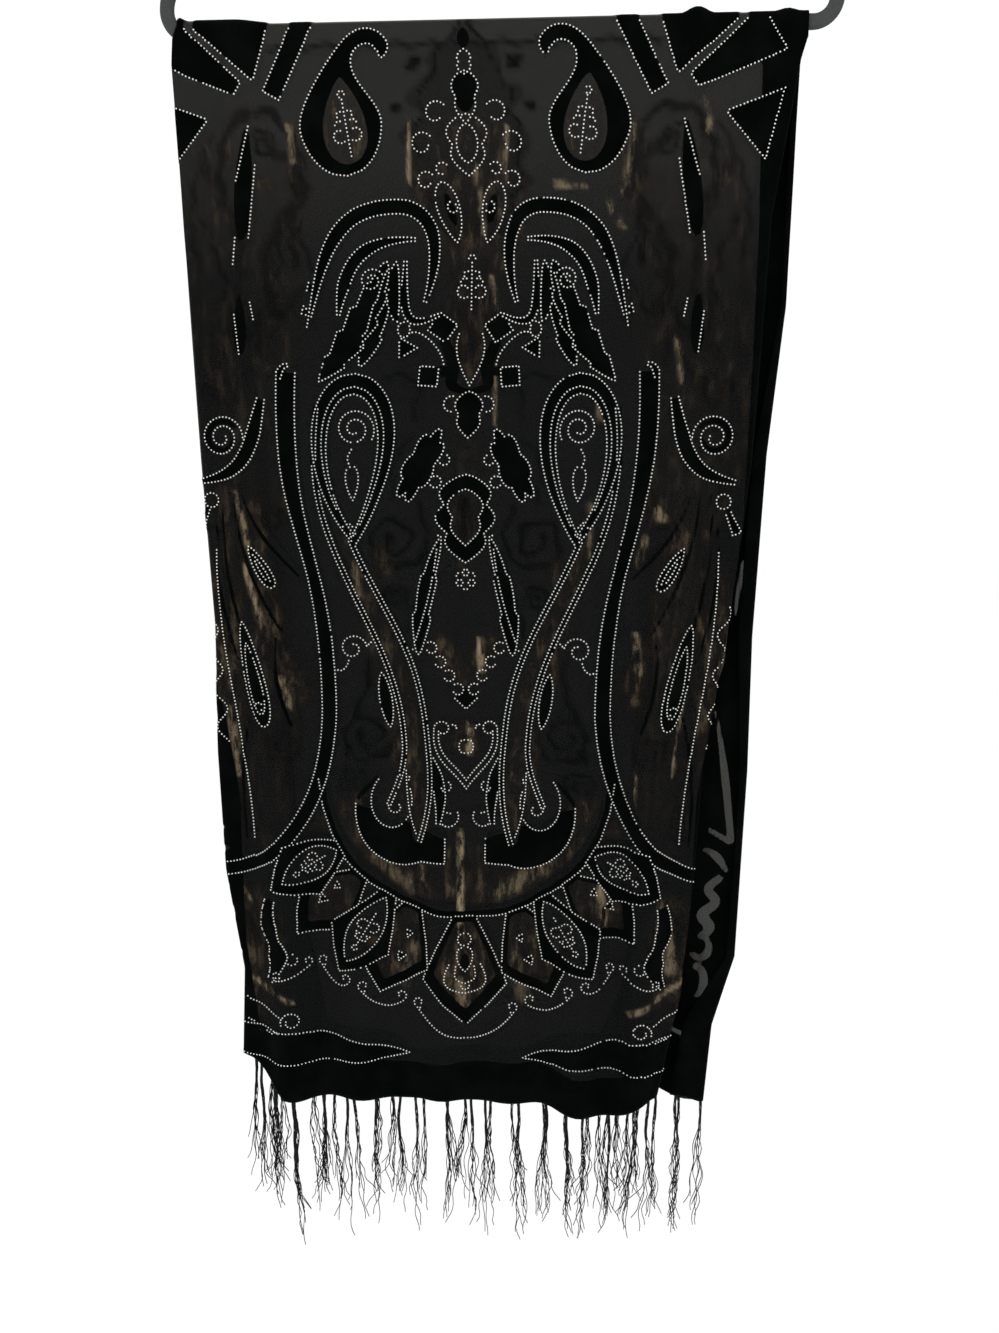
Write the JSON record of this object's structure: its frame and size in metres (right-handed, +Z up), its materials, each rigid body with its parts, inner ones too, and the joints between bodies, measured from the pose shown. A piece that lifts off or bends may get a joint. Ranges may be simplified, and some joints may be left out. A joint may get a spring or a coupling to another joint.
{
  "type": "evening stole on hanger",
  "caption": "Long fringed evening stole in burnt-out velvet and chiffon with beaded scrolls, folded over the lower bar of a slim hanger.",
  "frame": {"origin": "inside the top of the hook, where a rail bears", "axes": "+Z up, -Y towards the viewer of the front fall, +X to that viewer's right, with the hanger's middle at X = 0"},
  "size_m": [0.445, 0.0405, 1.1288],
  "materials": {
    "stole_cloth": "matte",
    "bead_silver": "satin",
    "fringe_thread": "satin",
    "hanger_flock": "matte",
    "hook_steel": "satin"
  },
  "bodies": {
    "root": {"hanger_hook": "hook_steel", "hanger_frame": "hanger_flock", "bar_fold": "stole_cloth", "front_fall": "stole_cloth", "back_fall": "stole_cloth", "front_fringe": "fringe_thread", "back_fringe": "fringe_thread"}
  },
  "joints": []
}
